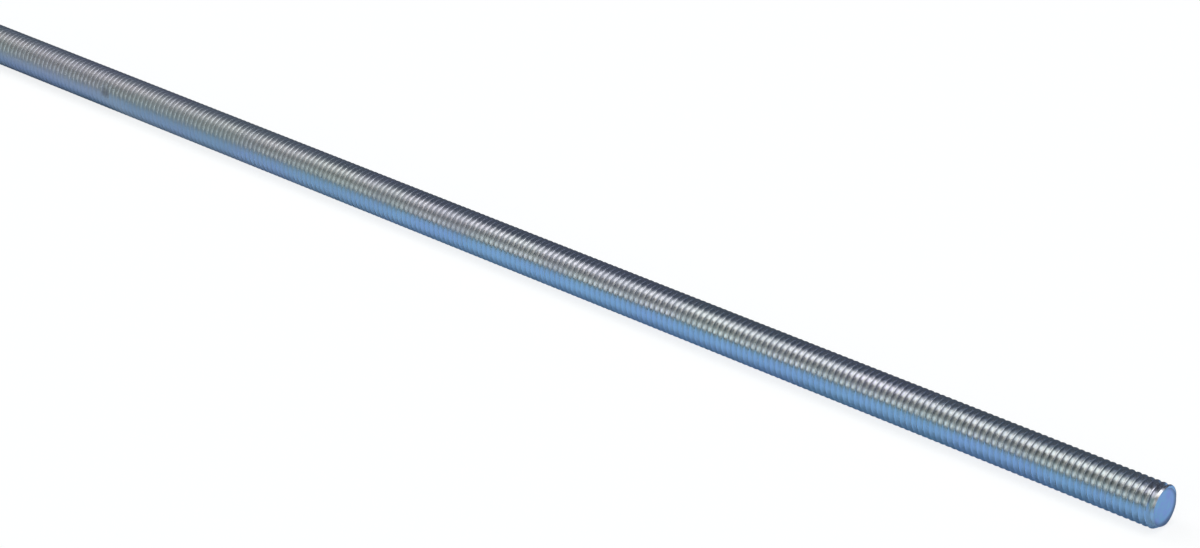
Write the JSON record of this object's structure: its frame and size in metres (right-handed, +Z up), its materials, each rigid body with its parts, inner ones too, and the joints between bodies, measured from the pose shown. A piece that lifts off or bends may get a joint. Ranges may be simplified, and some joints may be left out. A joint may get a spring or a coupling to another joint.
{
  "type": "threaded rod",
  "caption": "Straight steel rod with a metric screw thread over its whole length and a bevel on each cut end, for nuts, inserts and clamped or hung joints.",
  "frame": {"origin": "middle of the rod, on its axis", "axes": "+X along the rod's axis, +Z up when it lies on a bench"},
  "size_m": [0.5, 0.0078, 0.0078],
  "materials": {
    "plated_steel": "bright zinc plate on rolled steel, satin with a little wear on the crests"
  },
  "bodies": {
    "root": {"threaded_rod": "plated_steel"}
  },
  "joints": []
}
